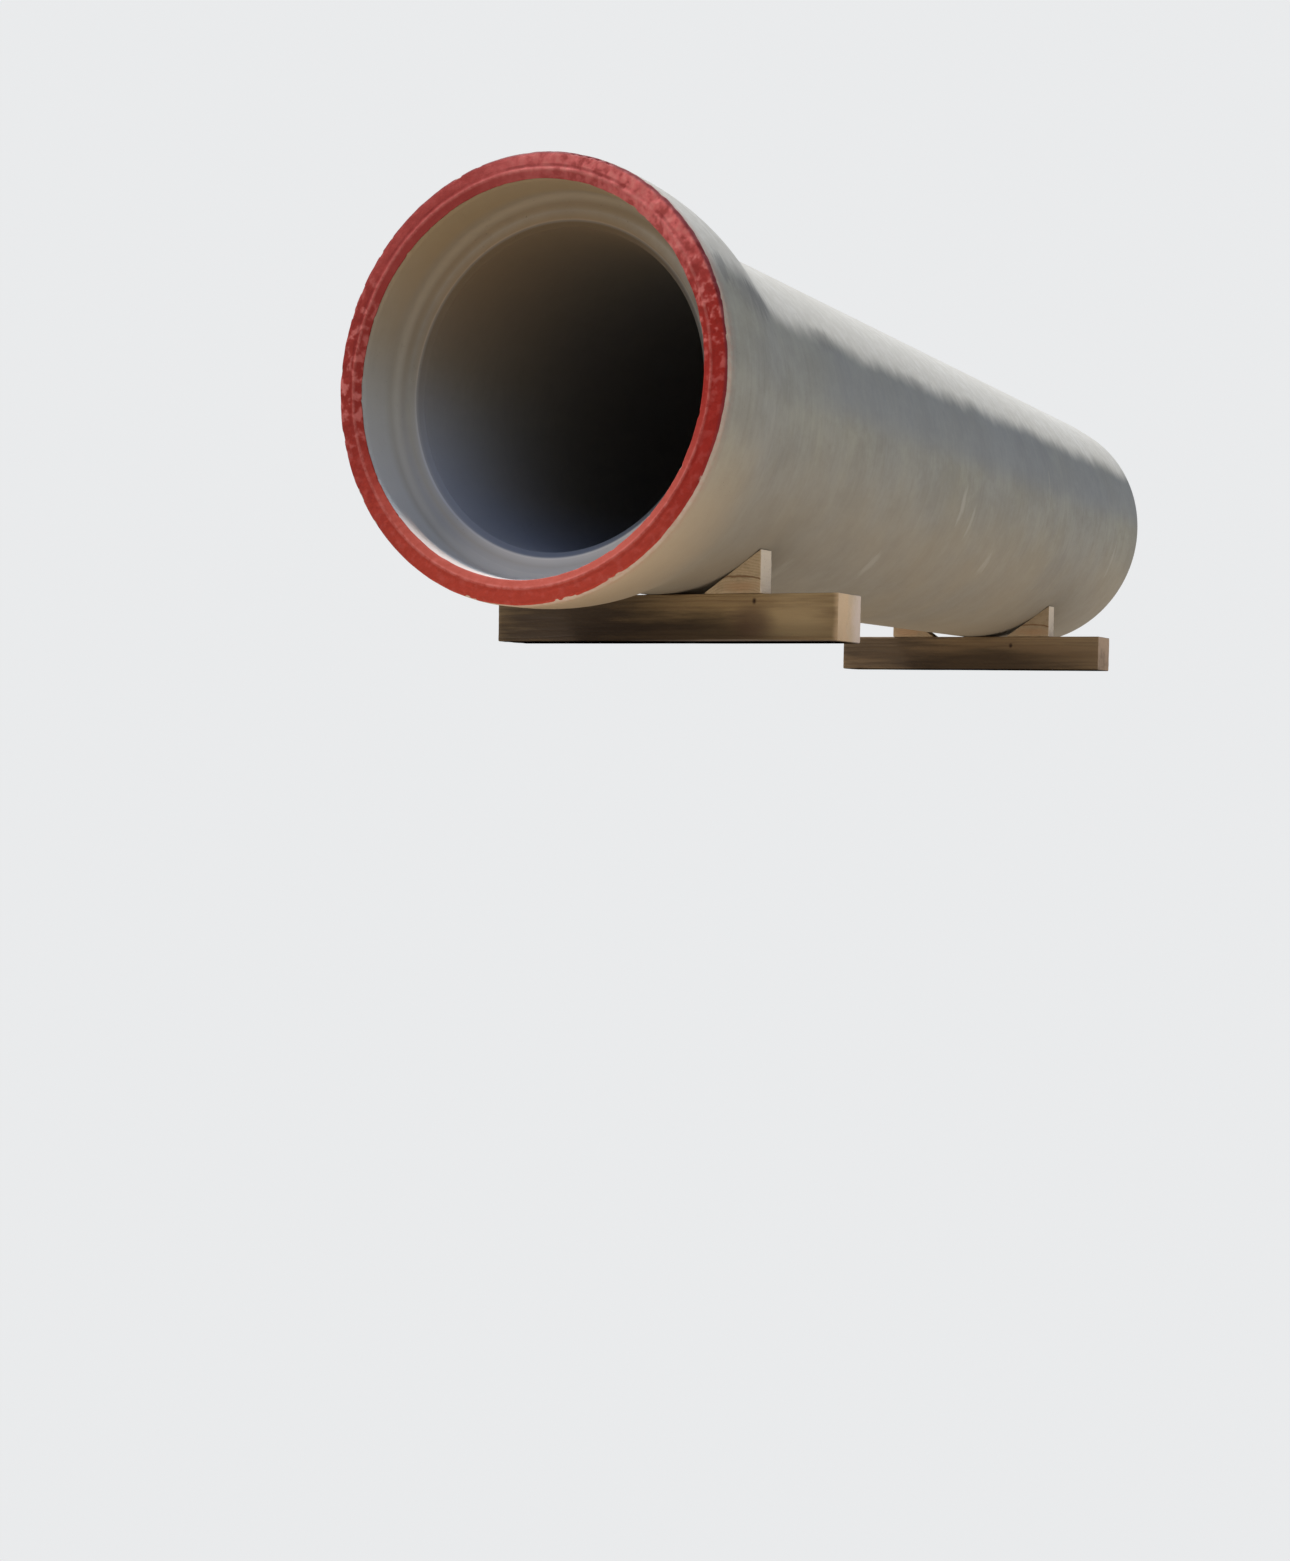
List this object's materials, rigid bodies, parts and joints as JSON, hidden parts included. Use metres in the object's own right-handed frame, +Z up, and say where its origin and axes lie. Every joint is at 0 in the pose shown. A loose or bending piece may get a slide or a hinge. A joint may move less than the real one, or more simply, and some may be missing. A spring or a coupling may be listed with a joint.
{
  "type": "concrete culvert pipe",
  "caption": "Bell-and-spigot concrete culvert pipe with a red-painted mouth, lying on sawn timber bearers and held by wedge chocks.",
  "frame": {"origin": "on the floor, under the middle of the pipe's length and width", "axes": "+Y along the pipe's axis from the bell to the spigot, +Z up, +X to the right when looking into the bell"},
  "size_m": [1.362, 5.16, 1.4313],
  "materials": {
    "concrete": "cast concrete, fine pores, matt",
    "timber": "sawn softwood, weathered, matt"
  },
  "bodies": {
    "root": {"pipe": "concrete", "front_bearer": "timber", "rear_bearer": "timber", "front_right_chock": "timber", "front_left_chock": "timber", "rear_right_chock": "timber", "rear_left_chock": "timber"}
  },
  "joints": []
}
